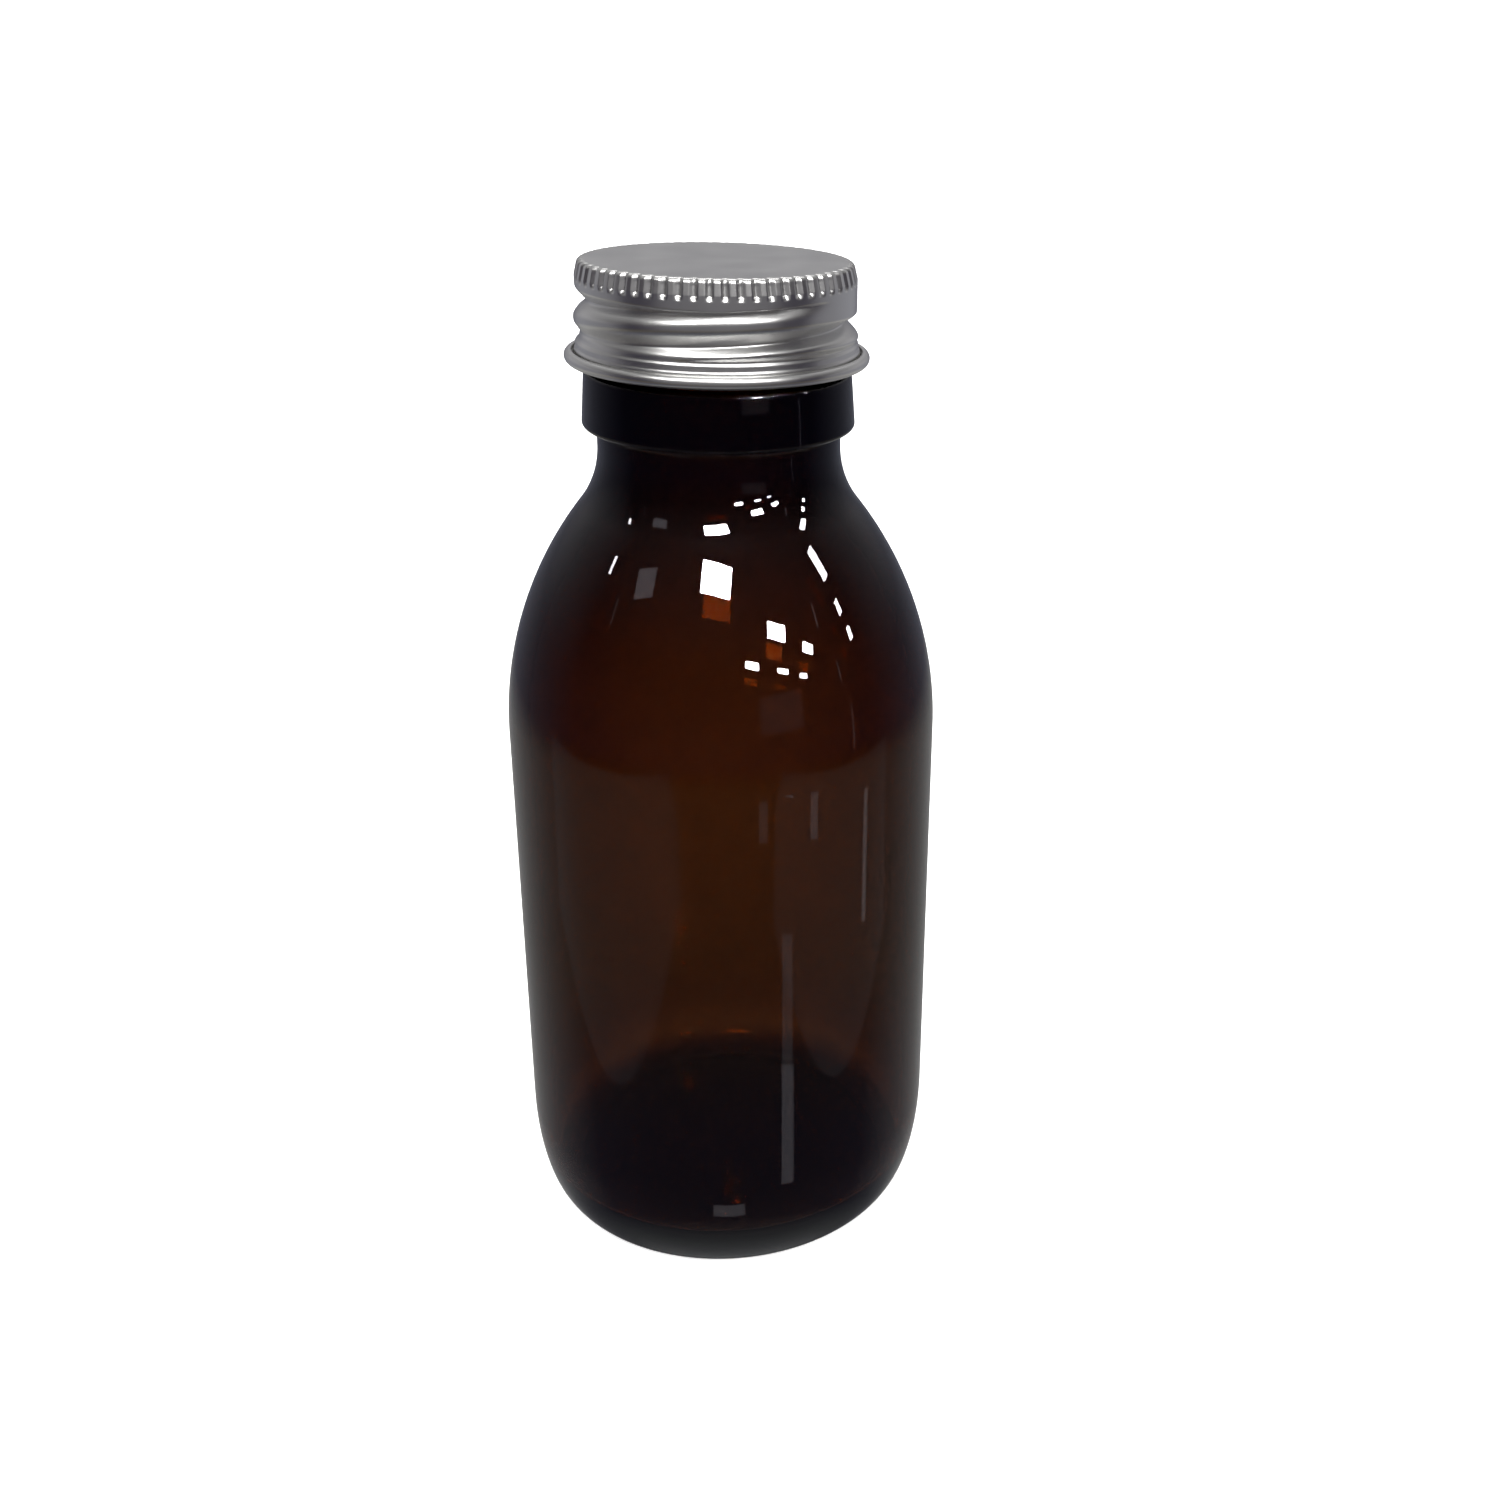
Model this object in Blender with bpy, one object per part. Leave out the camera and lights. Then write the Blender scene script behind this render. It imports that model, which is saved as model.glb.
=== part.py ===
"""A 100 ml amber glass bottle with a rolled-on aluminium screw cap and the cap's foam liner.

Units are metres, +Z is up, and the origin is the centre of the ring that the bottle stands on.
Angles run anticlockwise seen from above, from -Y, the front of the bottle.
"""

import math

import bmesh
import bpy

MM = 0.001
FRONT = math.radians(-90.0)

# Bottle, outside
GLASS_COLUMNS = 48
BODY_RADIUS = 23.45 * MM
FOOT_OUTER_RADIUS = 20.1 * MM
FOOT_INNER_RADIUS = 17.6 * MM
HEEL_HEIGHT = 12.2 * MM
PUSH_UP = 1.8 * MM
SHOULDER_START = 59.0 * MM
SHOULDER_END = 84.0 * MM
SHOULDER_RADIUS = 40.5 * MM
NECK_RADIUS = 12.65 * MM
COLLAR_BOTTOM = 92.3 * MM
COLLAR_TOP = 98.2 * MM
COLLAR_LOWER_RADIUS = 14.12 * MM
COLLAR_UPPER_RADIUS = 13.76 * MM
COLLAR_CORNER = 0.5 * MM
RIM_HEIGHT = 107.0 * MM

# Bottle, inside
WALL = 2.3 * MM
FLOOR_HEIGHT = 3.2 * MM
INNER_HEEL_TOP = 6.2 * MM
INNER_HEEL_WIDTH = 3.5 * MM
INNER_SHOULDER_START = 58.5 * MM
INNER_SHOULDER_END = 83.0 * MM
INNER_SHOULDER_RADIUS = 36.0 * MM
BORE_RADIUS = 9.2 * MM

# Thread, common to the glass and the cap: right-handed, 8 turns to the inch
PITCH = 3.175 * MM
THREAD_ROOT_RADIUS = 12.3 * MM
THREAD_CREST_RADIUS = 13.45 * MM
THREAD_FRONT_HEIGHT = 104.3 * MM
THREAD_HALF_WIDTH = 1.15 * MM
THREAD_TOP_TURN = 55.0 / 360.0
THREAD_BOTTOM_TURN = -500.0 / 360.0
THREAD_RUN_OUT = 40.0 / 360.0

# Cap
CAP_COLUMNS = 60
CAP_TOP = 109.0 * MM
CAP_SHEET = 0.25 * MM
CAP_FLAT_RADIUS = 13.3 * MM
CAP_EDGE_WIDTH = 0.64 * MM
CAP_EDGE_DROP = 0.5 * MM
CAP_EDGE_END = 12.0
BAND_RADIUS = 14.2 * MM
SKIRT_RADIUS = 14.45 * MM
KNURL_BOTTOM = 106.88 * MM
DENT_MARGIN = 0.28 * MM
DENT_DEPTH = 0.3 * MM
GROOVE_FRONT_HEIGHT = 105.86 * MM
GROOVE_TOP_TURN = 52.0 / 360.0
GROOVE_BOTTOM_TURN = -510.0 / 360.0
GROOVE_RUN_OUT = 50.0 / 360.0
SKIRT_STEP = 101.1 * MM
UPPER_RING = 0.18 * MM
LOWER_RING = 0.31 * MM
CURL_HEIGHT = 99.5 * MM
CURL_RADIUS = 0.39 * MM
CURL_ROOT_RADIUS = 14.54 * MM
CURL_SWEEP = math.radians(285.0)

# The rolled groove along the thread: turn, depth, height of its upper flank, height of its lower flank
GROOVE_SHAPE = (
    (-1.25, 0.60 * MM, 1.20 * MM, 1.00 * MM),
    (-1.05, 0.85 * MM, 1.75 * MM, 1.30 * MM),
    (-0.95, 0.95 * MM, 1.70 * MM, 0.85 * MM),
    (-0.88, 1.10 * MM, 1.45 * MM, 1.00 * MM),
    (-0.75, 1.50 * MM, 0.80 * MM, 2.10 * MM),
    (-0.25, 1.05 * MM, 1.60 * MM, 1.80 * MM),
    (0.00, 0.50 * MM, 0.14 * MM, 1.20 * MM),
)

# Liner
LINER_RADIUS = 13.3 * MM
LINER_BOTTOM = 107.35 * MM
LINER_TOP = 108.4 * MM
LINER_COLUMNS = 32


def clear_scene():
    for obj in list(bpy.data.objects):
        bpy.data.objects.remove(obj, do_unlink=True)


def material(name, color, roughness, metallic=0.0, transmission=0.0):
    made = bpy.data.materials.new(name)
    made.use_nodes = True
    shader = made.node_tree.nodes["Principled BSDF"]
    shader.inputs["Base Color"].default_value = (*color, 1.0)
    shader.inputs["Roughness"].default_value = roughness
    shader.inputs["Metallic"].default_value = metallic
    shader.inputs["Transmission Weight"].default_value = transmission
    return made


def arc(center_r, center_z, radius_r, radius_z, start, end, steps):
    """Points (r, z) of an elliptical arc, with start and end in degrees from +r towards +z."""
    points = []
    for i in range(steps + 1):
        angle = math.radians(start + (end - start) * i / steps)
        points.append(
            (center_r + radius_r * math.cos(angle), center_z + radius_z * math.sin(angle))
        )
    return points


def shoulder(radius, start, end, bend, throat, steps):
    """A convex arc from the cylinder at start to end, then the concave fillet that reaches throat.

    Returns the outline from bottom to top. Both arcs meet with one tangent, and the fillet ends upright.
    """
    slope = math.asin((end - start) / bend)
    outline = arc(radius - bend, start, bend, bend, 0.0, math.degrees(slope), steps)
    end_radius = outline[-1][0]
    fillet = (end_radius - throat) / (1.0 - math.cos(slope))
    center_r = throat + fillet
    center_z = end + fillet * math.sin(slope)
    hollow = arc(center_r, center_z, fillet, fillet, 180.0 + math.degrees(slope), 180.0, steps // 2)
    return outline + hollow[1:]


def smooth_step(value):
    clamped = min(max(value, 0.0), 1.0)
    return clamped * clamped * (3.0 - 2.0 * clamped)


def ramp(turn, low, high, run_out):
    """1 between the two ends of a thread, counted in turns, and 0 beyond them."""
    return smooth_step((turn - low) / run_out) * smooth_step((high - turn) / run_out)


def constant_shape(height, half_width):
    """The shape of a ridge that is the same along its whole helix."""
    return ((0.0, height, half_width, half_width),)


def shape_at(shape, turn):
    """Height of the ridge and of its two flanks at this turn, between the rows of a shape."""
    if turn <= shape[0][0]:
        return shape[0][1:]
    for lower, upper in zip(shape, shape[1:]):
        if turn <= upper[0]:
            share = (turn - lower[0]) / (upper[0] - lower[0])
            return tuple(a + (b - a) * share for a, b in zip(lower[1:], upper[1:]))
    return shape[-1][1:]


def helix_height(x, y, z, front_height, low, high, run_out, shape):
    """How far a ridge that climbs one pitch a turn stands up at the point (x, y, z)."""
    part_turn = (math.atan2(y, x) - FRONT) / (2.0 * math.pi)
    tallest = 0.0
    for whole_turn in range(math.floor(low) - 1, math.ceil(high) + 1):
        turn = part_turn + whole_turn
        height, above, below = shape_at(shape, turn)
        offset = z - (front_height + PITCH * turn)
        width = above if offset > 0.0 else below
        if abs(offset) < width:
            profile = height * math.cos(0.5 * math.pi * offset / width) ** 2
            tallest = max(tallest, profile * ramp(turn, low, high, run_out))
    return tallest


def turned(outline, columns):
    """A bmesh of the outline (r, z) turned round the Z axis."""
    mesh = bmesh.new()
    verts = [mesh.verts.new((0.0, -r, z)) for r, z in outline]
    edges = [mesh.edges.new(pair) for pair in zip(verts, verts[1:])]
    bmesh.ops.spin(
        mesh,
        geom=verts + edges,
        cent=(0.0, 0.0, 0.0),
        axis=(0.0, 0.0, 1.0),
        angle=2.0 * math.pi,
        steps=columns,
        use_merge=True,
    )
    bmesh.ops.remove_doubles(mesh, verts=mesh.verts, dist=1e-7)
    return mesh


def set_radius(vert, radius):
    scale = radius / math.hypot(vert.co.x, vert.co.y)
    vert.co.x *= scale
    vert.co.y *= scale


def finish_object(name, mesh, finish, sharp_angle=35.0):
    """Makes an object of the bmesh, with its faces turned outwards and its round surfaces smooth."""
    bmesh.ops.recalc_face_normals(mesh, faces=mesh.faces)
    data = bpy.data.meshes.new(name)
    mesh.to_mesh(data)
    mesh.free()
    data.shade_smooth()
    data.set_sharp_from_angle(angle=math.radians(sharp_angle))
    data.materials.append(finish)
    obj = bpy.data.objects.new(name, data)
    bpy.context.scene.collection.objects.link(obj)
    return obj


def bottle_outline():
    """The glass from the middle of the push-up, round the outside to the rim, and down the inside."""
    heel = arc(
        FOOT_OUTER_RADIUS,
        HEEL_HEIGHT,
        BODY_RADIUS - FOOT_OUTER_RADIUS,
        HEEL_HEIGHT,
        -90.0,
        0.0,
        6,
    )
    outside = [(0.0, PUSH_UP), (0.5 * FOOT_INNER_RADIUS, 0.75 * PUSH_UP), (FOOT_INNER_RADIUS, 0.0)]
    outside += heel
    outside += shoulder(
        BODY_RADIUS, SHOULDER_START, SHOULDER_END, SHOULDER_RADIUS, NECK_RADIUS, 8
    )
    outside += [
        (NECK_RADIUS, COLLAR_BOTTOM - 0.15 * MM),
        (NECK_RADIUS + 0.3 * MM, COLLAR_BOTTOM),
    ]
    outside += arc(
        COLLAR_LOWER_RADIUS - COLLAR_CORNER,
        COLLAR_BOTTOM + COLLAR_CORNER,
        COLLAR_CORNER,
        COLLAR_CORNER,
        -90.0,
        0.0,
        3,
    )
    outside += arc(
        COLLAR_UPPER_RADIUS - COLLAR_CORNER,
        COLLAR_TOP - COLLAR_CORNER,
        COLLAR_CORNER,
        COLLAR_CORNER,
        0.0,
        90.0,
        3,
    )
    thread_rows = 15
    thread_low = COLLAR_TOP + 0.6 * MM
    thread_high = RIM_HEIGHT - 0.9 * MM
    for i in range(thread_rows + 1):
        height = thread_low + (thread_high - thread_low) * i / thread_rows
        outside.append((THREAD_ROOT_RADIUS, height))
    lip = THREAD_ROOT_RADIUS - 0.9 * MM
    outside += arc(lip, thread_high, 0.9 * MM, 0.9 * MM, 0.0, 90.0, 3)[1:]

    inside = arc(BORE_RADIUS + 0.6 * MM, RIM_HEIGHT - 0.6 * MM, 0.6 * MM, 0.6 * MM, 90.0, 180.0, 2)
    inner_radius = BODY_RADIUS - WALL
    throat = shoulder(
        inner_radius,
        INNER_SHOULDER_START,
        INNER_SHOULDER_END,
        INNER_SHOULDER_RADIUS,
        BORE_RADIUS,
        7,
    )
    inside += reversed(throat)
    inside += arc(
        inner_radius - INNER_HEEL_WIDTH,
        INNER_HEEL_TOP,
        INNER_HEEL_WIDTH,
        INNER_HEEL_TOP - FLOOR_HEIGHT,
        0.0,
        -90.0,
        5,
    )
    inside += [(0.0, FLOOR_HEIGHT + 0.6 * MM)]
    return outside + inside


def make_bottle():
    mesh = turned(bottle_outline(), GLASS_COLUMNS)
    thread = constant_shape(THREAD_CREST_RADIUS - THREAD_ROOT_RADIUS, THREAD_HALF_WIDTH)
    for vert in mesh.verts:
        radius = math.hypot(vert.co.x, vert.co.y)
        if abs(radius - THREAD_ROOT_RADIUS) < 0.01 * MM and vert.co.z > COLLAR_TOP:
            ridge = helix_height(
                *vert.co,
                THREAD_FRONT_HEIGHT,
                THREAD_BOTTOM_TURN,
                THREAD_TOP_TURN,
                THREAD_RUN_OUT,
                thread,
            )
            set_radius(vert, THREAD_ROOT_RADIUS + ridge)
    glass = material("amber_glass", (0.16, 0.055, 0.015), 0.03, transmission=0.9)
    finish_object("glass_bottle", mesh, glass)


def cap_outline():
    """The outer face of the cap's sheet, from the middle of the top to the free edge of the curl."""
    outline = [(0.0, CAP_TOP), (7.0 * MM, CAP_TOP)]
    outline += arc(
        CAP_FLAT_RADIUS,
        CAP_TOP - CAP_EDGE_DROP,
        CAP_EDGE_WIDTH,
        CAP_EDGE_DROP,
        90.0,
        CAP_EDGE_END,
        3,
    )
    outline += [(BAND_RADIUS, KNURL_BOTTOM)]
    skirt_rows = 12
    skirt_low = SKIRT_STEP + 0.2 * MM
    for i in range(skirt_rows + 1):
        share = i / skirt_rows
        height = KNURL_BOTTOM - 0.25 * MM - (KNURL_BOTTOM - 0.25 * MM - skirt_low) * share
        outline.append((BAND_RADIUS, height))
    outline += [
        (BAND_RADIUS + UPPER_RING, SKIRT_STEP - 0.2 * MM),
        (BAND_RADIUS + UPPER_RING, SKIRT_STEP - 0.6 * MM),
        (BAND_RADIUS + LOWER_RING, SKIRT_STEP - 0.9 * MM),
        (CURL_ROOT_RADIUS, SKIRT_STEP - 1.2 * MM),
    ]
    curl_steps = 8
    for i in range(curl_steps + 1):
        angle = math.pi + CURL_SWEEP * i / curl_steps
        outline.append(
            (
                CURL_ROOT_RADIUS + CURL_RADIUS + CURL_RADIUS * math.cos(angle),
                CURL_HEIGHT + CURL_RADIUS * math.sin(angle),
            )
        )
    return outline


def press_dents(mesh):
    """Presses one dent into each face of the band above the knurl's lower edge."""
    band = [
        face
        for face in mesh.faces
        if face.calc_center_median().z > KNURL_BOTTOM and abs(face.normal.z) < 0.2
    ]
    bmesh.ops.inset_individual(mesh, faces=band, thickness=DENT_MARGIN, use_even_offset=True)
    for face in band:
        for vert in face.verts:
            set_radius(vert, math.hypot(vert.co.x, vert.co.y) - DENT_DEPTH)


def make_cap():
    mesh = turned(cap_outline(), CAP_COLUMNS)
    bmesh.ops.recalc_face_normals(mesh, faces=mesh.faces)
    for vert in mesh.verts:
        radius = math.hypot(vert.co.x, vert.co.y)
        if radius > 0.9 * BAND_RADIUS and SKIRT_STEP < vert.co.z < KNURL_BOTTOM - 0.1 * MM:
            groove = helix_height(
                *vert.co,
                GROOVE_FRONT_HEIGHT,
                GROOVE_BOTTOM_TURN,
                GROOVE_TOP_TURN,
                GROOVE_RUN_OUT,
                GROOVE_SHAPE,
            )
            set_radius(vert, SKIRT_RADIUS - groove)
    press_dents(mesh)
    finish = material("satin_aluminium", (0.62, 0.62, 0.63), 0.35, metallic=1.0)
    cap = finish_object("cap_shell", mesh, finish)
    sheet = cap.modifiers.new("sheet", "SOLIDIFY")
    sheet.thickness = CAP_SHEET
    sheet.offset = -1.0


def make_liner():
    mesh = bmesh.new()
    bmesh.ops.create_cone(
        mesh,
        cap_ends=True,
        segments=LINER_COLUMNS,
        radius1=LINER_RADIUS,
        radius2=LINER_RADIUS,
        depth=LINER_TOP - LINER_BOTTOM,
    )
    bmesh.ops.translate(mesh, verts=mesh.verts, vec=(0.0, 0.0, 0.5 * (LINER_TOP + LINER_BOTTOM)))
    foam = material("liner_foam", (0.82, 0.81, 0.77), 0.8)
    finish_object("cap_liner", mesh, foam)


clear_scene()
make_bottle()
make_cap()
make_liner()
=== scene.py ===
"""The looks of the amber bottle, in a plain pale studio.

Fine glass, a rolled aluminium cap and its foam liner. Lengths are metres unless a name says
otherwise, and +Z is up. Azimuths run anticlockwise seen from above, from -Y, the front of the
bottle, so that +X is at 90 degrees.
"""

import math

import bpy
import numpy as np
from mathutils import Matrix, Quaternion, Vector


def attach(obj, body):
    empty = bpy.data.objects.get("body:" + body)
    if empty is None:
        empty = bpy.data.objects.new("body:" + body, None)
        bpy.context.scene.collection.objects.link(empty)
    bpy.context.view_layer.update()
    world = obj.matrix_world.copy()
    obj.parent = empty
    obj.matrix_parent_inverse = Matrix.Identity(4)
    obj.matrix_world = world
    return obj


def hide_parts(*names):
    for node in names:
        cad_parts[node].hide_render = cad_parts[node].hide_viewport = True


MM = 0.001
FRONT = math.radians(-90.0)

# Camera
CAMERA_PLACE = (0.0, -0.17307, 0.13196)
CAMERA_DOWN = 23.05
CAMERA_TURN = 7.93
CAMERA_ROLL = 2.19
CAMERA_LENS_MM = 39.78
CAMERA_SHIFT = (-0.1244, -0.0168)

# Glass, outside
GLASS_COLUMNS = 256
BODY_RADIUS = 23.45 * MM
FOOT_OUTER_RADIUS = 20.1 * MM
FOOT_INNER_RADIUS = 17.6 * MM
HEEL_HEIGHT = 12.2 * MM
PUSH_UP = 1.8 * MM
SHOULDER_START = 59.0 * MM
SHOULDER_END = 84.0 * MM
SHOULDER_RADIUS = 40.5 * MM
NECK_RADIUS = 12.65 * MM
COLLAR_BOTTOM = 92.3 * MM
COLLAR_TOP = 98.2 * MM
COLLAR_LOWER_RADIUS = 14.12 * MM
COLLAR_UPPER_RADIUS = 13.76 * MM
COLLAR_CORNER = 0.5 * MM
COLLAR_DRAFT = 3.0
NECK_FILLET = 0.45 * MM
FINISH_FILLET = 0.5 * MM
RIM_HEIGHT = 107.0 * MM
LIP = 0.9 * MM

# Glass, inside
WALL = 2.3 * MM
FLOOR_HEIGHT = 3.2 * MM
INNER_HEEL_TOP = 6.2 * MM
INNER_HEEL_WIDTH = 3.5 * MM
INNER_SHOULDER_START = 58.5 * MM
INNER_SHOULDER_END = 83.0 * MM
INNER_SHOULDER_RADIUS = 36.0 * MM
BORE_RADIUS = 9.2 * MM
MOUTH_ROUNDING = 0.6 * MM
FLOOR_CROWN = 0.6 * MM

# Thread, common to the glass and the cap
PITCH = 3.175 * MM
THREAD_ROOT_RADIUS = 12.3 * MM
THREAD_CREST_RADIUS = 13.45 * MM
THREAD_FRONT_HEIGHT = 104.3 * MM
THREAD_HALF_WIDTH = 1.15 * MM
THREAD_ENDS = (-500.0 / 360.0, 55.0 / 360.0)
THREAD_RUN_OUTS = (40.0 / 360.0, 40.0 / 360.0)
THREAD_SHAPE = ((0.0, THREAD_CREST_RADIUS - THREAD_ROOT_RADIUS, THREAD_HALF_WIDTH, THREAD_HALF_WIDTH),)

# Cap
DENTS = 60
COLUMNS_PER_DENT = 8
CAP_TOP = 109.0 * MM
CAP_SHEET = 0.25 * MM
CAP_FLAT_RADIUS = 13.3 * MM
CAP_EDGE_WIDTH = 0.64 * MM
CAP_EDGE_DROP = 0.5 * MM
CAP_EDGE_END = 12.0
TAPER_BOTTOM = 107.45 * MM
BAND_RADIUS = 14.2 * MM
SKIRT_RADIUS = 14.45 * MM
DENT_BOTTOM = 106.88 * MM
DENT_RAMP = 0.50 * MM
DENT_FLAT_RADIUS = 13.1 * MM
DENT_EDGE_START = 108.35 * MM
DENT_TOP_RADIUS = 13.60 * MM
DENT_BOTTOM_RADIUS = 13.98 * MM
DENT_SHARE = 0.36
GROOVE_FRONT_HEIGHT = 105.86 * MM
GROOVE_ENDS = (-510.0 / 360.0, 52.0 / 360.0)
GROOVE_RUN_OUTS = (70.0 / 360.0, 32.0 / 360.0)
# turn, depth, height of the upper flank, height of the lower flank
GROOVE_SHAPE = (
    (-1.25, 0.60 * MM, 1.20 * MM, 1.00 * MM),
    (-1.05, 0.85 * MM, 1.75 * MM, 1.30 * MM),
    (-0.95, 0.95 * MM, 1.70 * MM, 0.85 * MM),
    (-0.88, 1.10 * MM, 1.45 * MM, 1.00 * MM),
    (-0.75, 1.50 * MM, 0.80 * MM, 2.10 * MM),
    (-0.25, 1.05 * MM, 1.60 * MM, 1.80 * MM),
    (0.00, 0.50 * MM, 0.14 * MM, 1.20 * MM),
)
GROOVE_ROUNDING = 0.14
CREST_ROUNDING = 0.4
WIDENING_HEIGHT = 0.8 * MM
LAST_RIDGE_HEIGHT = 0.7 * MM
# height where each ring of the skirt begins, how tall its slope is, and how far it stands out
SKIRT_RINGS = (
    (101.25 * MM, 0.35 * MM, 0.18 * MM),
    (100.50 * MM, 0.28 * MM, 0.13 * MM),
)
CURL_HEIGHT = 99.50 * MM
CURL_RADIUS = 0.39 * MM
CURL_ROOT_RADIUS = 14.54 * MM
CURL_GAP_HEIGHT = 100.10 * MM
CURL_SWEEP = math.radians(285.0)

# Liner
LINER_RADIUS = 13.3 * MM
LINER_BOTTOM = 107.35 * MM
LINER_TOP = 108.4 * MM
LINER_CORNER = 0.12 * MM

# Amber glass: how dense it is, what it lets through, and the slight colour of its reflections
GLASS_DENSITY = 1800.0
GLASS_COLOR = (0.51, 0.33, 0.05, 1.0)
GLASS_TINT = (0.93, 0.90, 1.0, 1.0)

# Studio: the sweep, and where the floor turns from a painted shadow under the bottle to pale
FLOOR_DROP = -0.02 * MM
FLOOR_RADIUS = 1.2
SWEEP_RADIUS = 0.6
WALL_TOP = 2.6
PAINTED_SHADOW_INSIDE = 18.4 * MM
PAINTED_SHADOW_OUTSIDE = 19.4 * MM
PAINTED_SHADOW_COLOR = (0.004, 0.004, 0.005, 1.0)

# Surroundings, from straight down at 0 to straight up at 1
FRONT_SURROUNDINGS = (
    (0.0, (0.420, 0.430, 0.430)),
    (0.05, (0.260, 0.270, 0.270)),
    (0.11, (0.075, 0.075, 0.105)),
    (0.20, (0.070, 0.068, 0.100)),
    (0.24, (0.100, 0.088, 0.060)),
    (0.335, (0.085, 0.070, 0.046)),
    (0.355, (0.032, 0.027, 0.032)),
    (0.39, (0.026, 0.024, 0.050)),
    (0.52, (0.028, 0.024, 0.040)),
    (0.65, (0.032, 0.026, 0.034)),
    (0.90, (0.090, 0.090, 0.092)),
    (1.0, (0.350, 0.350, 0.350)),
)
BACK_SURROUNDINGS = (
    (0.0, (0.420, 0.430, 0.430)),
    (0.05, (0.040, 0.040, 0.050)),
    (0.15, (0.340, 0.340, 0.340)),
    (0.25, (0.280, 0.280, 0.275)),
    (0.32, (0.300, 0.300, 0.298)),
    (0.37, (0.135, 0.140, 0.175)),
    (0.50, (0.150, 0.152, 0.180)),
    (0.62, (0.300, 0.296, 0.312)),
    (0.80, (0.420, 0.420, 0.425)),
    (1.0, (0.600, 0.600, 0.600)),
)

# Lamps: azimuth, elevation, width, height and roll in degrees, radiance. One set lights the glass alone,
# with the small panes that it mirrors, and softer ones light everything else.
LAMP_DISTANCE = 1.6
LAMP_AIM = (0.0, 0.0, 0.07)
GLASS_LAMPS = (
    (-4.7, 46.8, 16.5, 10.6, -7.0, 380.0),
    (33.3, 27.5, 9.5, 5.2, -20.0, 380.0),
    (16.1, 19.1, 7.2, 2.3, -12.0, 200.0),
    (33.3, 15.4, 5.8, 1.6, -14.0, 120.0),
    (44.3, 12.1, 4.0, 1.5, -14.0, 60.0),
    (50.2, 19.0, 5.5, 3.0, -25.0, 200.0),
    (78.8, 22.2, 2.5, 4.0, 0.0, 60.0),
    (79.8, 14.5, 2.5, 3.4, 0.0, 60.0),
    (80.0, 35.0, 4.6, 9.5, 0.0, 40.0),
    (-88.0, 31.0, 1.8, 4.6, 20.0, 24.0),
    (-58.5, 37.0, 11.0, 9.0, 24.0, 1.0),
    (30.0, 3.0, 23.0, 12.0, 0.0, 0.11),
    (-64.0, -27.0, 68.0, 18.0, 0.0, 0.08),
    (61.0, -27.0, 62.0, 18.0, 0.0, 0.09),
    (32.6, -38.0, 6.0, 5.0, 0.0, 0.30),
    (32.4, -35.5, 5.0, 9.5, 0.0, 0.25),
    (33.5, -23.6, 3.6, 0.8, -8.0, 0.6),
    (47.5, -25.4, 3.8, 3.7, 0.0, 0.40),
    (19.5, -25.8, 4.2, 3.0, 0.0, 0.22),
    (80.5, -27.8, 2.5, 5.2, 0.0, 0.50),
    (-2.0, -48.5, 13.0, 5.0, 0.0, 0.50),
    (61.0, 26.0, 0.7, 7.0, -8.0, 0.9),
    (66.0, 8.0, 0.6, 6.0, 0.0, 0.8),
    (70.0, -8.0, 0.7, 12.0, 2.0, 0.4),
    (-72.0, 24.0, 0.7, 7.0, 10.0, 0.6),
)
STUDIO_LAMPS = (
    (-6.0, 58.0, 64.0, 32.0, 0.0, 4.2),
    (0.0, 60.0, 18.0, 30.0, 0.0, 4.0),
    (32.0, 38.0, 22.0, 18.0, 0.0, 3.6),
    (180.0, 56.0, 40.0, 20.0, 0.0, 2.0),
    (0.0, 6.0, 100.0, 56.0, 0.0, 0.12),
    (118.0, -6.0, 66.0, 50.0, 0.0, 0.16),
    (-118.0, -6.0, 66.0, 50.0, 0.0, 0.14),
)


# ---------------------------------------------------------------- geometry


def arc(center_r, center_z, radius_r, radius_z, start, end, steps):
    """Points (r, z) of an elliptical arc, with start and end in degrees from +r towards +z."""
    angles = np.radians(np.linspace(start, end, steps + 1))
    return list(zip(center_r + radius_r * np.cos(angles), center_z + radius_z * np.sin(angles)))


def line(start, end, steps):
    """Points (r, z) evenly along a straight stretch, without its first point."""
    shares = np.arange(1, steps + 1) / steps
    return [
        (start[0] + (end[0] - start[0]) * s, start[1] + (end[1] - start[1]) * s) for s in shares
    ]


def shoulder(radius, start, end, bend, throat, steps):
    """A convex arc from the cylinder at start to end, then a concave fillet that ends upright at throat."""
    slope = math.asin((end - start) / bend)
    outline = arc(radius - bend, start, bend, bend, 0.0, math.degrees(slope), steps)
    fillet = (outline[-1][0] - throat) / (1.0 - math.cos(slope))
    center = (throat + fillet, end + fillet * math.sin(slope))
    hollow = arc(*center, fillet, fillet, 180.0 + math.degrees(slope), 180.0, steps // 2)
    return outline + hollow[1:]


def smooth_step(value):
    clamped = np.clip(value, 0.0, 1.0)
    return clamped * clamped * (3.0 - 2.0 * clamped)


def rounded_flank(share):
    """Falls from 1 at a share of 0 to 0 at 1, straight but for its two rounded ends."""
    share = np.clip(share, 0.0, 1.0)
    whole = 1.0 - 0.5 * (GROOVE_ROUNDING + CREST_ROUNDING)
    near = share**2 / (2.0 * GROOVE_ROUNDING)
    middle = share - 0.5 * GROOVE_ROUNDING
    far = whole - (1.0 - share) ** 2 / (2.0 * CREST_ROUNDING)
    fallen = np.where(share < GROOVE_ROUNDING, near, np.where(share < 1.0 - CREST_ROUNDING, middle, far))
    return 1.0 - fallen / whole


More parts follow.
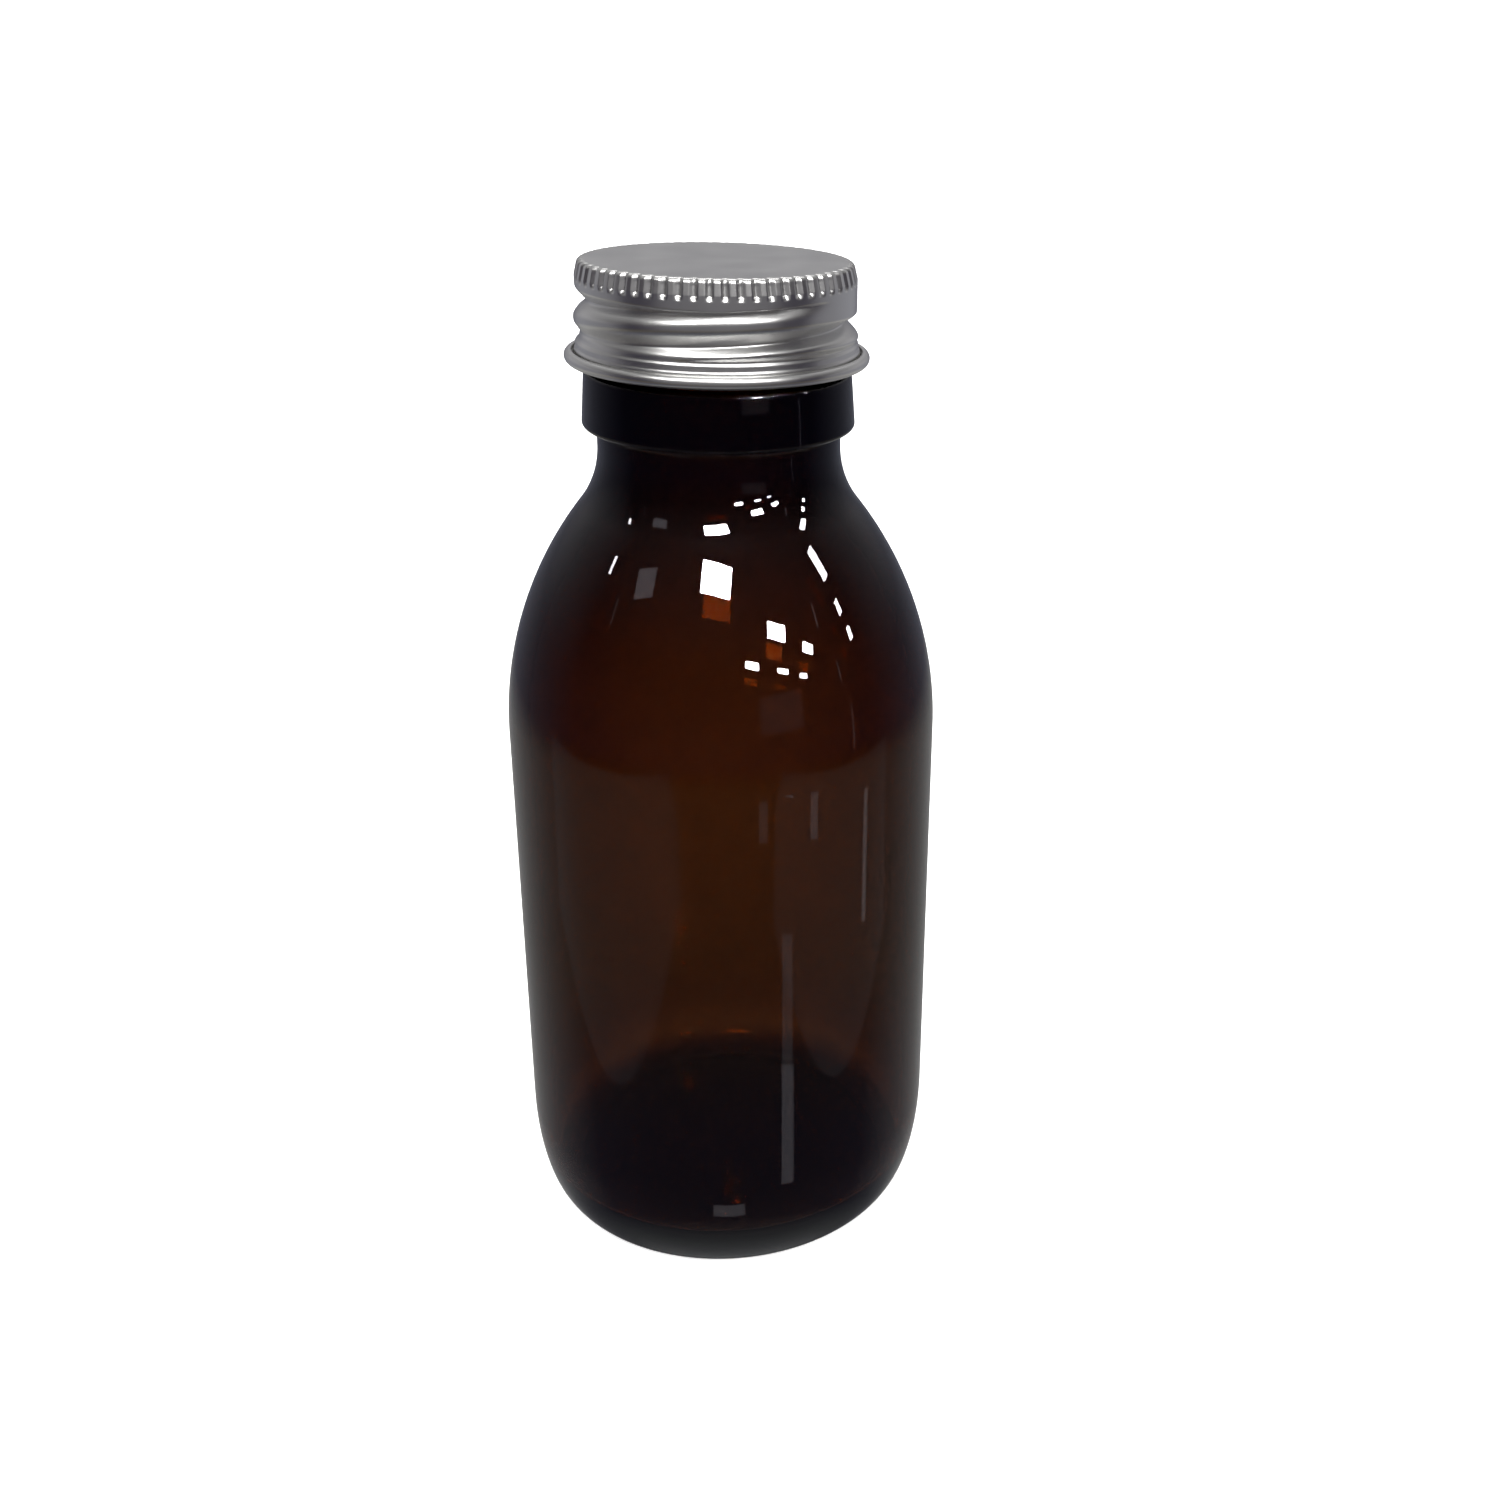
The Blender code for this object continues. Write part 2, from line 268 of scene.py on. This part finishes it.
def helix_height(turn, height, front_height, ends, run_outs, shape):
    """How far a ridge that climbs one pitch a turn stands up. turn and height are arrays of one form."""
    turns, heights, aboves, belows = np.array(shape).T
    tallest = np.zeros_like(height)
    for whole_turn in range(math.floor(ends[0]) - 1, math.ceil(ends[1]) + 1):
        place = turn + whole_turn
        offset = height - (front_height + PITCH * place)
        above = np.interp(place, turns, aboves)
        below = np.interp(place, turns, belows)
        width = np.where(offset > 0.0, above, below)
        profile = rounded_flank(np.abs(offset) / width)
        start = smooth_step((place - ends[0]) / run_outs[0])
        end = smooth_step((ends[1] - place) / run_outs[1])
        tallest = np.maximum(tallest, np.interp(place, turns, heights) * profile * start * end)
    return tallest


def lathe(name, outline, columns, relief=None, inwards=False):
    """A mesh of the outline (r, z) turned round Z, whose radii relief(turn, radius, height) may change.

    Turns run from -0.5 to 0.5, with 0 at the front. A point on the axis becomes one pole.
    """
    rows = np.array(outline)
    turn = np.arange(columns) / columns - 0.5
    turns, radius = np.meshgrid(turn, rows[:, 0])
    height = np.repeat(rows[:, 1:2], columns, axis=1)
    if relief:
        radius = relief(turns, radius, height)
    angle = FRONT + 2.0 * math.pi * turns
    points = np.stack([radius * np.cos(angle), radius * np.sin(angle), height], axis=-1)
    verts = []
    index = np.zeros(radius.shape, int)
    for row in range(len(rows)):
        if rows[row, 0] == 0.0:
            index[row, :] = len(verts)
            verts.append(points[row, 0])
        else:
            index[row, :] = np.arange(columns) + len(verts)
            verts.extend(points[row])
    faces = []
    for low, high in zip(index, index[1:]):
        around = zip(low, np.roll(low, -1), np.roll(high, -1), high)
        for corners in around:
            face = list(dict.fromkeys(int(corner) for corner in corners))
            faces.append(face[::-1] if inwards else face)
    data = bpy.data.meshes.new(name)
    data.from_pydata([tuple(point) for point in verts], [], faces)
    data.shade_smooth()
    obj = bpy.data.objects.new(name, data)
    bpy.context.scene.collection.objects.link(obj)
    return obj


def bottle_outline():
    """The glass from the middle of the push-up, round the outside to the rim, and down the inside."""
    heel_width = BODY_RADIUS - FOOT_OUTER_RADIUS
    outside = [(0.0, PUSH_UP)]
    outside += arc(0.0, -1.0 * MM, FOOT_INNER_RADIUS, PUSH_UP + 1.0 * MM, 85.0, 23.0, 14)
    outside += [(FOOT_INNER_RADIUS - 0.1 * MM, 0.0), (FOOT_INNER_RADIUS + 0.4 * MM, 0.0)]
    outside += arc(FOOT_OUTER_RADIUS, HEEL_HEIGHT, heel_width, HEEL_HEIGHT, -90.0, 0.0, 36)
    outside += line((BODY_RADIUS, HEEL_HEIGHT), (BODY_RADIUS, SHOULDER_START), 24)
    outside += shoulder(
        BODY_RADIUS, SHOULDER_START, SHOULDER_END, SHOULDER_RADIUS, NECK_RADIUS, 44
    )[1:]
    outside += [(NECK_RADIUS, COLLAR_BOTTOM - 0.8 * MM)]
    outside += arc(
        NECK_RADIUS + NECK_FILLET,
        COLLAR_BOTTOM - NECK_FILLET,
        NECK_FILLET,
        NECK_FILLET,
        180.0,
        90.0,
        6,
    )
    outside += arc(
        COLLAR_LOWER_RADIUS - COLLAR_CORNER,
        COLLAR_BOTTOM + COLLAR_CORNER,
        COLLAR_CORNER,
        COLLAR_CORNER,
        -90.0,
        COLLAR_DRAFT,
        9,
    )
    outside += arc(
        COLLAR_UPPER_RADIUS - COLLAR_CORNER,
        COLLAR_TOP - COLLAR_CORNER,
        COLLAR_CORNER,
        COLLAR_CORNER,
        COLLAR_DRAFT,
        90.0,
        9,
    )
    outside += arc(
        THREAD_ROOT_RADIUS + FINISH_FILLET,
        COLLAR_TOP + FINISH_FILLET,
        FINISH_FILLET,
        FINISH_FILLET,
        270.0,
        180.0,
        6,
    )
    outside += line(
        (THREAD_ROOT_RADIUS, COLLAR_TOP + FINISH_FILLET), (THREAD_ROOT_RADIUS, RIM_HEIGHT - LIP), 48
    )
    outside += arc(THREAD_ROOT_RADIUS - LIP, RIM_HEIGHT - LIP, LIP, LIP, 0.0, 90.0, 10)[1:]

    rounding = MOUTH_ROUNDING
    inside = arc(BORE_RADIUS + rounding, RIM_HEIGHT - rounding, rounding, rounding, 90.0, 180.0, 8)
    inner_radius = BODY_RADIUS - WALL
    throat = shoulder(
        inner_radius,
        INNER_SHOULDER_START,
        INNER_SHOULDER_END,
        INNER_SHOULDER_RADIUS,
        BORE_RADIUS,
        36,
    )
    inside += line((BORE_RADIUS, RIM_HEIGHT - rounding), throat[-1], 6)
    inside += throat[-2::-1]
    inside += line(throat[0], (inner_radius, INNER_HEEL_TOP), 16)
    inside += arc(
        inner_radius - INNER_HEEL_WIDTH,
        INNER_HEEL_TOP,
        INNER_HEEL_WIDTH,
        INNER_HEEL_TOP - FLOOR_HEIGHT,
        0.0,
        -90.0,
        20,
    )[1:]
    dome = inner_radius - INNER_HEEL_WIDTH
    for share in (0.8, 0.6, 0.4, 0.2, 0.0):
        inside.append((dome * share, FLOOR_HEIGHT + FLOOR_CROWN * (1.0 - share * share)))
    return outside + inside


def glass_thread(turn, radius, height):
    threaded = (np.abs(radius - THREAD_ROOT_RADIUS) < 0.001 * MM) & (height > COLLAR_TOP)
    ridge = helix_height(
        turn, height, THREAD_FRONT_HEIGHT, THREAD_ENDS, THREAD_RUN_OUTS, THREAD_SHAPE
    )
    return radius + threaded * ridge


def cap_outline():
    """The outer face of the cap's sheet, from the middle of the top to the free edge of the curl."""
    outline = [(0.0, CAP_TOP)]
    outline += line((0.0, CAP_TOP), (DENT_FLAT_RADIUS, CAP_TOP), 10)
    outline += arc(
        CAP_FLAT_RADIUS,
        CAP_TOP - CAP_EDGE_DROP,
        CAP_EDGE_WIDTH,
        CAP_EDGE_DROP,
        90.0,
        CAP_EDGE_END,
        12,
    )
    outline += line(outline[-1], (BAND_RADIUS, TAPER_BOTTOM), 14)
    outline += line((BAND_RADIUS, TAPER_BOTTOM), (BAND_RADIUS, DENT_BOTTOM + DENT_RAMP), 4)
    outline += line((BAND_RADIUS, DENT_BOTTOM + DENT_RAMP), (BAND_RADIUS, DENT_BOTTOM), 8)
    outline += line((BAND_RADIUS, DENT_BOTTOM), (BAND_RADIUS, CURL_HEIGHT + 0.1 * MM), 84)
    for angle in np.linspace(math.pi, math.pi + CURL_SWEEP, 25):
        outline.append(
            (
                CURL_ROOT_RADIUS + CURL_RADIUS + CURL_RADIUS * math.cos(angle),
                CURL_HEIGHT + CURL_RADIUS * math.sin(angle),
            )
        )
    return outline


def cap_relief(turn, radius, height):
    """Presses the dents into the band, widens the skirt below it and rolls the thread's groove."""
    side = (np.abs(radius - BAND_RADIUS) < 0.001 * MM) & (height < DENT_BOTTOM)
    groove = helix_height(
        turn, height, GROOVE_FRONT_HEIGHT, GROOVE_ENDS, GROOVE_RUN_OUTS, GROOVE_SHAPE
    )
    widened = np.zeros_like(height)
    for whole_turn in (-1, 0):
        place = turn + whole_turn
        below_groove = (GROOVE_FRONT_HEIGHT + PITCH * place - height) / WIDENING_HEIGHT
        end = smooth_step((GROOVE_ENDS[1] - place) / GROOVE_RUN_OUTS[1])
        widened = np.maximum(widened, smooth_step(below_groove) * end)
    last_ridge = smooth_step((height - SKIRT_RINGS[0][0]) / LAST_RIDGE_HEIGHT)
    rolled = (SKIRT_RADIUS - BAND_RADIUS) * widened * last_ridge - groove
    for start, slope, step in SKIRT_RINGS:
        rolled += step * smooth_step((start - height) / slope)
    full = sum(step for start, slope, step in SKIRT_RINGS)
    gap = smooth_step((CURL_GAP_HEIGHT - height) / (CURL_GAP_HEIGHT - CURL_HEIGHT - 0.4 * MM))
    rolled += (CURL_ROOT_RADIUS - BAND_RADIUS - full) * gap
    radius = radius + side * rolled

    share = np.abs((turn * DENTS) % 1.0 - 0.5) * 2.0
    across = smooth_step((DENT_SHARE + 0.14 - share) / 0.28)
    fall = np.clip((height - DENT_EDGE_START) / (CAP_TOP - DENT_EDGE_START), 0.0, 1.0)
    edge = DENT_FLAT_RADIUS + (DENT_TOP_RADIUS - DENT_FLAT_RADIUS) * np.sqrt(1.0 - fall**2)
    tilt = (DENT_BOTTOM_RADIUS - DENT_TOP_RADIUS) / (DENT_EDGE_START - DENT_BOTTOM)
    floor = DENT_TOP_RADIUS + tilt * (DENT_EDGE_START - height)
    ramp = BAND_RADIUS - (BAND_RADIUS - floor) * np.clip((height - DENT_BOTTOM) / DENT_RAMP, 0, 1)
    dent = np.where(height > DENT_EDGE_START, edge, ramp)
    knurled = (height > DENT_BOTTOM) & (radius > DENT_FLAT_RADIUS)
    return np.where(knurled, np.minimum(radius, radius + (dent - radius) * across), radius)


def make_bottle():
    bottle = lathe("bottle_glass_fine", bottle_outline(), GLASS_COLUMNS, relief=glass_thread)
    bottle.data.materials.append(amber_glass())
    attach(bottle, "bottle")
    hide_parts("glass_bottle")
    return bottle


def make_cap():
    cap = lathe(
        "cap_shell_fine", cap_outline(), DENTS * COLUMNS_PER_DENT, relief=cap_relief, inwards=True
    )
    sheet = cap.modifiers.new("sheet", "SOLIDIFY")
    sheet.thickness = CAP_SHEET
    sheet.offset = -1.0
    cap.data.materials.append(satin_aluminium())
    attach(cap, "cap")
    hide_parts("cap_shell")
    return cap


def make_liner():
    corner = LINER_CORNER
    outline = [(0.0, LINER_BOTTOM)]
    outline += line((0.0, LINER_BOTTOM), (LINER_RADIUS - corner, LINER_BOTTOM), 12)
    outline += arc(LINER_RADIUS - corner, LINER_BOTTOM + corner, corner, corner, -90.0, 0.0, 4)[1:]
    outline += arc(LINER_RADIUS - corner, LINER_TOP - corner, corner, corner, 0.0, 90.0, 4)
    outline += line((LINER_RADIUS - corner, LINER_TOP), (0.0, LINER_TOP), 12)
    liner = lathe("cap_liner_fine", outline, 128)
    liner.data.materials.append(liner_foam())
    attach(liner, "liner")
    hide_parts("cap_liner")
    return liner


# ---------------------------------------------------------------- materials


def new_material(name):
    """The node tree of a new material, its Principled shader, and the material itself."""
    made = bpy.data.materials.new(name)
    made.use_nodes = True
    return made.node_tree, made.node_tree.nodes["Principled BSDF"], made


def add(tree, kind, settings=None, **inputs):
    """A node with its properties from settings and its inputs' values from the keywords."""
    node = tree.nodes.new(kind)
    for key, value in (settings or {}).items():
        setattr(node, key, value)
    for key, value in inputs.items():
        node.inputs[key.replace("_", " ")].default_value = value
    return node


def noise(tree, coordinates, scale, detail=2.0, stretch=(1.0, 1.0, 1.0)):
    """A noise texture over coordinates that are first scaled by stretch; returns its value socket."""
    mapping = add(tree, "ShaderNodeMapping", Scale=stretch)
    tree.links.new(coordinates, mapping.inputs["Vector"])
    texture = add(tree, "ShaderNodeTexNoise", Scale=scale, Detail=detail)
    tree.links.new(mapping.outputs["Vector"], texture.inputs["Vector"])
    return texture.outputs["Fac"]


def remap(tree, value, low, high, to_low, to_high):
    node = add(tree, "ShaderNodeMapRange", From_Min=low, From_Max=high, To_Min=to_low, To_Max=to_high)
    tree.links.new(value, node.inputs["Value"])
    return node.outputs["Result"]


def bump(tree, shader, height, strength, distance):
    node = add(tree, "ShaderNodeBump", Strength=strength, Distance=distance)
    tree.links.new(height, node.inputs["Height"])
    tree.links.new(node.outputs["Normal"], shader.inputs["Normal"])


def amber_glass():
    """Dark amber container glass: dense absorption and a slightly wavy blown surface."""
    tree, shader, made = new_material("amber_glass")
    shader.inputs["Base Color"].default_value = (1.0, 1.0, 1.0, 1.0)
    shader.inputs["Roughness"].default_value = 0.0
    shader.inputs["IOR"].default_value = 1.52
    shader.inputs["Transmission Weight"].default_value = 1.0
    shader.inputs["Specular Tint"].default_value = GLASS_TINT
    absorption = add(tree, "ShaderNodeVolumeAbsorption", Density=GLASS_DENSITY)
    absorption.inputs["Color"].default_value = GLASS_COLOR
    output = tree.nodes["Material Output"]
    tree.links.new(absorption.outputs["Volume"], output.inputs["Volume"])
    place = add(tree, "ShaderNodeTexCoord").outputs["Object"]
    waves = noise(tree, place, 90.0, detail=1.0, stretch=(1.0, 1.0, 0.35))
    bump(tree, shader, waves, 0.08, 0.0002)
    return made


def satin_aluminium():
    """Bare satin aluminium with rolling marks round the skirt and a fine grain."""
    tree, shader, made = new_material("satin_aluminium")
    shader.inputs["Metallic"].default_value = 1.0
    place = add(tree, "ShaderNodeTexCoord").outputs["Object"]
    cloud = noise(tree, place, 220.0, detail=3.0)
    tone = add(tree, "ShaderNodeValToRGB")
    tone.color_ramp.elements[0].color = (0.69, 0.685, 0.67, 1.0)
    tone.color_ramp.elements[1].color = (0.79, 0.785, 0.77, 1.0)
    tree.links.new(cloud, tone.inputs["Fac"])
    tree.links.new(tone.outputs["Color"], shader.inputs["Base Color"])
    tree.links.new(remap(tree, cloud, 0.3, 0.7, 0.28, 0.32), shader.inputs["Roughness"])
    grain = noise(tree, place, 3500.0, detail=2.0, stretch=(1.0, 1.0, 2.5))
    bump(tree, shader, grain, 0.06, 0.00004)
    return made


def liner_foam():
    """Matt white expanded foam with fine closed cells."""
    tree, shader, made = new_material("liner_foam")
    place = add(tree, "ShaderNodeTexCoord").outputs["Object"]
    cells = add(tree, "ShaderNodeTexVoronoi", Scale=2600.0)
    tree.links.new(place, cells.inputs["Vector"])
    tone = add(tree, "ShaderNodeValToRGB")
    tone.color_ramp.elements[0].color = (0.72, 0.71, 0.68, 1.0)
    tone.color_ramp.elements[1].color = (0.86, 0.855, 0.83, 1.0)
    tree.links.new(cells.outputs["Distance"], tone.inputs["Fac"])
    tree.links.new(tone.outputs["Color"], shader.inputs["Base Color"])
    shader.inputs["Roughness"].default_value = 0.75
    bump(tree, shader, cells.outputs["Distance"], 0.5, 0.0001)
    return made


def pale_backdrop():
    """Pale paper, with a painted shadow: dark and without glow in the small round patch that the bottle
    stands on.
    """
    tree, shader, made = new_material("pale_backdrop")
    shader.inputs["Roughness"].default_value = 0.9
    shader.inputs["Specular IOR Level"].default_value = 0.0
    shader.inputs["Emission Strength"].default_value = 0.42
    place = add(tree, "ShaderNodeTexCoord").outputs["Object"]
    away = add(tree, "ShaderNodeVectorMath", {"operation": "LENGTH"})
    tree.links.new(place, away.inputs[0])
    # painted shadow: base colour and glow fade to near black under the bottle
    lit = remap(tree, away.outputs["Value"], PAINTED_SHADOW_INSIDE, PAINTED_SHADOW_OUTSIDE, 0.0, 1.0)
    for name, pale in (("Base Color", 0.86), ("Emission Color", 1.0)):
        tone = add(tree, "ShaderNodeMix", {"data_type": "RGBA"})
        tone.inputs["A"].default_value = PAINTED_SHADOW_COLOR
        tone.inputs["B"].default_value = (pale, pale, pale, 1.0)
        tree.links.new(lit, tone.inputs["Factor"])
        tree.links.new(tone.outputs["Result"], shader.inputs[name])
    return made


# ---------------------------------------------------------------- studio


def direction(azimuth, elevation):
    """The unit vector from the bottle towards an azimuth and an elevation, in degrees."""
    a, e = math.radians(azimuth), math.radians(elevation)
    return Vector((math.sin(a) * math.cos(e), -math.cos(a) * math.cos(e), math.sin(e)))


def make_studio():
    """A pale floor that sweeps up into a wall all round, unseen in reflections and casting no shadows."""
    wall = FLOOR_RADIUS + SWEEP_RADIUS
    outline = [(0.0, FLOOR_DROP)] + line((0.0, FLOOR_DROP), (FLOOR_RADIUS, FLOOR_DROP), 12)
    outline += arc(FLOOR_RADIUS, SWEEP_RADIUS, SWEEP_RADIUS, SWEEP_RADIUS, -90.0, 0.0, 16)[1:]
    outline += line((wall, SWEEP_RADIUS), (wall, WALL_TOP), 4)
    sweep = lathe("pale_sweep", outline, 96, inwards=True)
    sweep.data.materials.append(pale_backdrop())
    sweep.visible_glossy = False
    sweep.visible_shadow = False
    return sweep


def make_world():
    """Surroundings that the glass and the metal reflect: a dim front, a lighter back and a pale ceiling."""
    world = bpy.data.worlds.new("soft_room")
    bpy.context.scene.world = world
    world.use_nodes = True
    tree = world.node_tree
    background = tree.nodes["Background"]
    heading = add(tree, "ShaderNodeTexCoord").outputs["Generated"]
    split = add(tree, "ShaderNodeSeparateXYZ")
    tree.links.new(heading, split.inputs["Vector"])
    ramps = []
    for stops in (FRONT_SURROUNDINGS, BACK_SURROUNDINGS):
        ramp = add(tree, "ShaderNodeValToRGB")
        elements = ramp.color_ramp.elements
        while len(elements) < len(stops):
            elements.new(0.5)
        for element, (place, color) in zip(elements, stops):
            element.position = place
            element.color = (*color, 1.0)
        tree.links.new(remap(tree, split.outputs["Z"], -1.0, 1.0, 0.0, 1.0), ramp.inputs["Fac"])
        ramps.append(ramp.outputs["Color"])
    mix = add(tree, "ShaderNodeMix", {"data_type": "RGBA"})
    tree.links.new(remap(tree, split.outputs["Y"], -0.10, 0.75, 0.0, 1.0), mix.inputs["Factor"])
    tree.links.new(ramps[0], mix.inputs["A"])
    tree.links.new(ramps[1], mix.inputs["B"])
    tree.links.new(mix.outputs["Result"], background.inputs["Color"])


def make_lamps(kind, lamps, lit):
    """Rectangular lamps that face the object and light only the objects in the list lit."""
    aim = Vector(LAMP_AIM)
    receivers = bpy.data.collections.new(f"lit_by_{kind}")
    for obj in lit:
        receivers.objects.link(obj)
    for number, (azimuth, elevation, width, height, roll, radiance) in enumerate(lamps, 1):
        data = bpy.data.lights.new(f"{kind}_lamp_{number}", "AREA")
        data.shape = "RECTANGLE"
        data.size = 2.0 * LAMP_DISTANCE * math.tan(math.radians(0.5 * width))
        data.size_y = 2.0 * LAMP_DISTANCE * math.tan(math.radians(0.5 * height))
        data.energy = radiance * math.pi * data.size * data.size_y
        lamp = bpy.data.objects.new(data.name, data)
        towards = direction(azimuth, elevation)
        lamp.location = aim + towards * LAMP_DISTANCE
        turned = towards.to_track_quat("Z", "Y") @ Quaternion((0.0, 0.0, 1.0), math.radians(roll))
        lamp.rotation_mode = "QUATERNION"
        lamp.rotation_quaternion = turned
        lamp.visible_camera = False
        lamp.light_linking.receiver_collection = receivers
        bpy.context.scene.collection.objects.link(lamp)


def make_camera():
    """The camera at its fitted place, turned right by CAMERA_TURN, down by CAMERA_DOWN and rolled."""
    data = bpy.data.cameras.new("camera")
    data.sensor_width = 36.0
    data.lens = CAMERA_LENS_MM
    data.shift_x, data.shift_y = CAMERA_SHIFT
    data.clip_start = 0.005
    data.clip_end = 20.0
    camera = bpy.data.objects.new("camera", data)
    down, turn = math.radians(CAMERA_DOWN), math.radians(CAMERA_TURN)
    forward = Vector(
        (math.sin(turn) * math.cos(down), math.cos(turn) * math.cos(down), -math.sin(down))
    )
    right = Vector((math.cos(turn), -math.sin(turn), 0.0))
    up = right.cross(forward)
    roll = Matrix.Rotation(math.radians(-CAMERA_ROLL), 3, forward)
    axes = Matrix((roll @ right, roll @ up, -forward)).transposed()
    camera.matrix_world = Matrix.Translation(CAMERA_PLACE) @ axes.to_4x4()
    bpy.context.scene.collection.objects.link(camera)
    bpy.context.scene.camera = camera


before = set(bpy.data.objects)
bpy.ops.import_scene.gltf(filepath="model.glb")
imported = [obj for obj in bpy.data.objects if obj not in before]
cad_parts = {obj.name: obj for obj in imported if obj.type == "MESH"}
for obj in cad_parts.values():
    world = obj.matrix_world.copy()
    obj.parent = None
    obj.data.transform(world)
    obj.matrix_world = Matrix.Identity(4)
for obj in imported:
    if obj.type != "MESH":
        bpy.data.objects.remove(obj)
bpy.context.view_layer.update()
bpy.context.scene.view_settings.view_transform = "Standard"
make_camera()
bottle = make_bottle()
cap = make_cap()
liner = make_liner()
sweep = make_studio()
make_world()
make_lamps("glass", GLASS_LAMPS, [bottle])
make_lamps("studio", STUDIO_LAMPS, [cap, liner, sweep])
